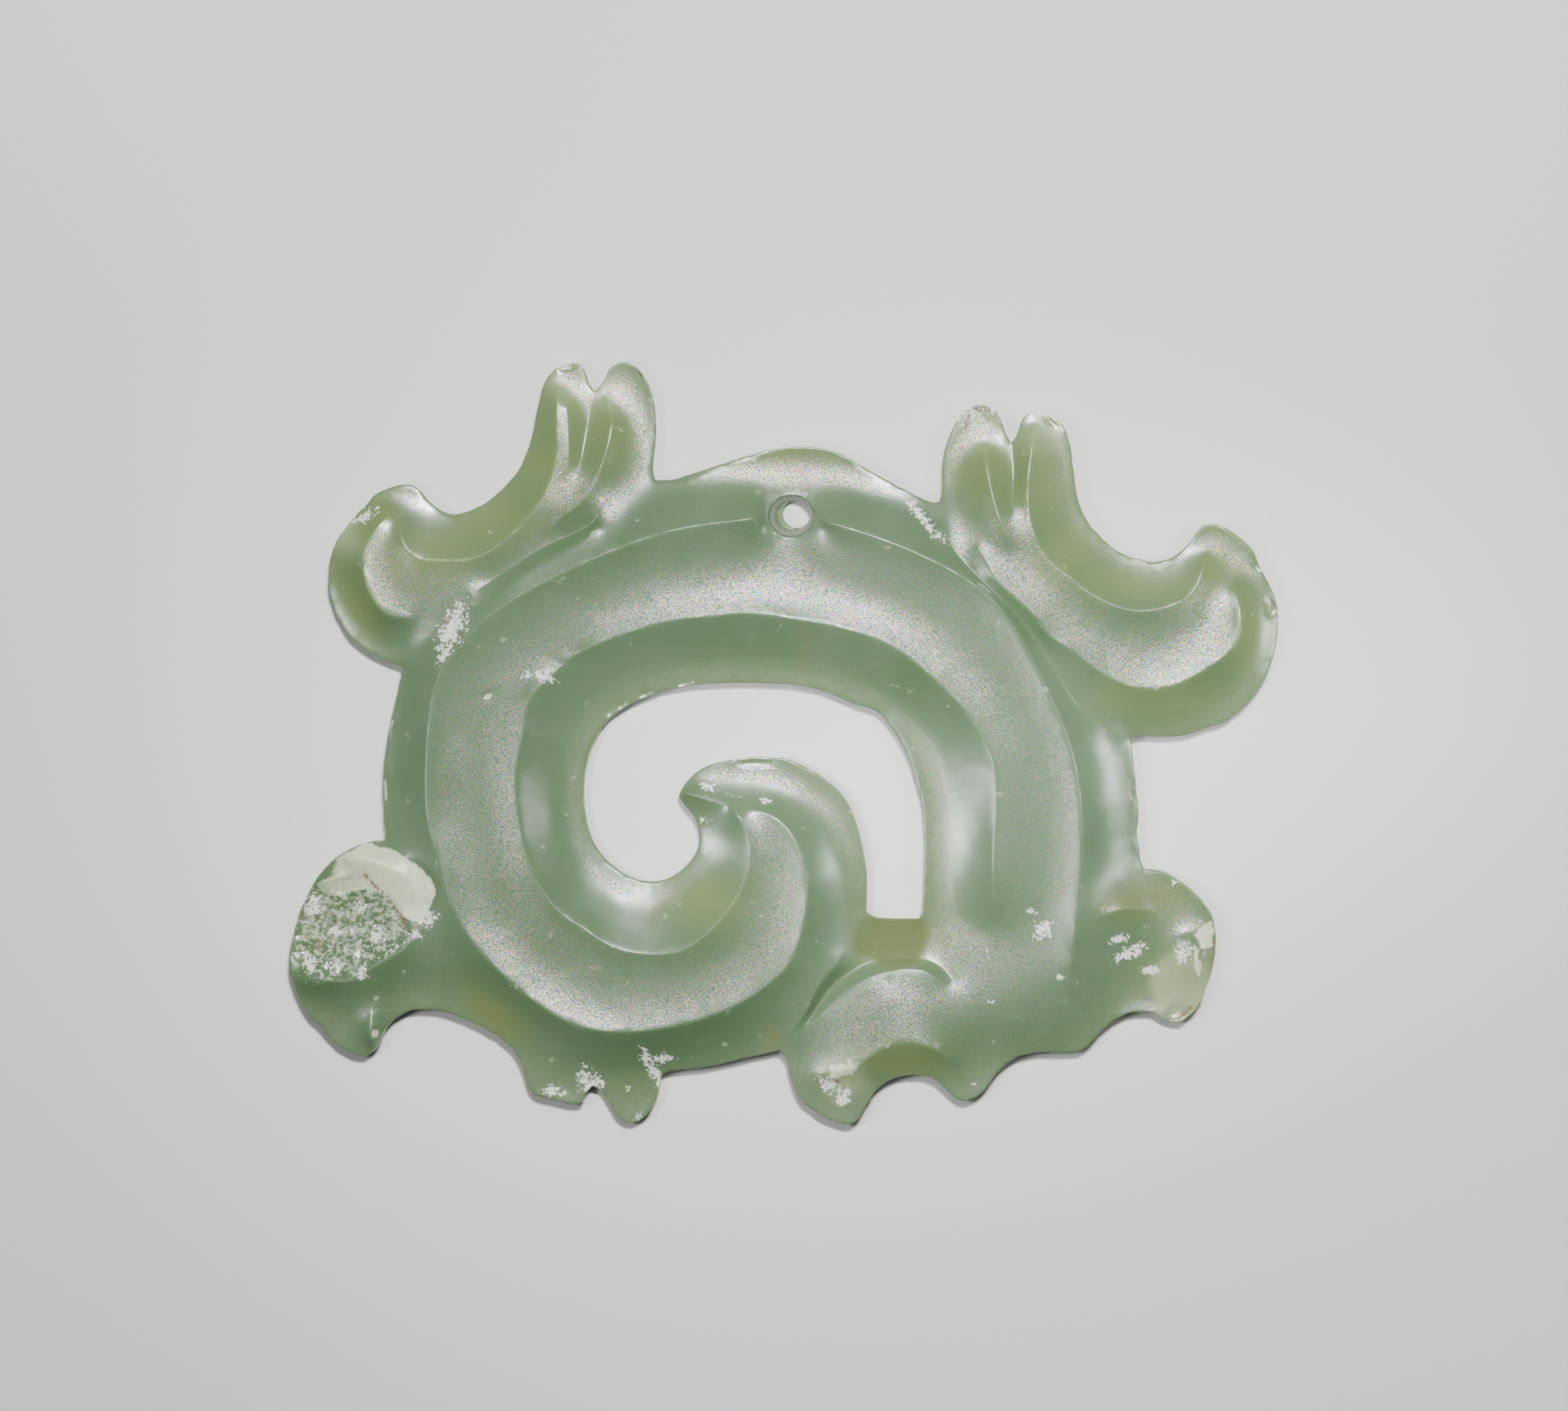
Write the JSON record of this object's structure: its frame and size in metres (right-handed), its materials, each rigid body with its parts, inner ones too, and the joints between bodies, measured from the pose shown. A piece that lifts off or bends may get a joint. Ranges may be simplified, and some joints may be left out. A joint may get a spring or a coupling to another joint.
{
  "type": "carved jade openwork plaque",
  "caption": "Thin openwork plaque of pale green jade: a ridged ring curling into a hook, with forked hooks at its corners and a drilled hanging hole.",
  "frame": {"origin": "on the flat back, under the middle of the plaque", "axes": "+Z out of the carved face, +Y towards the edge with the drilled hole, +X to the right of the carved face"},
  "size_m": [0.1278, 0.0986, 0.0056],
  "materials": {
    "jade": "polished translucent pale green nephrite, satin in the grooves"
  },
  "bodies": {
    "root": {"jade_plaque": "jade"}
  },
  "joints": []
}
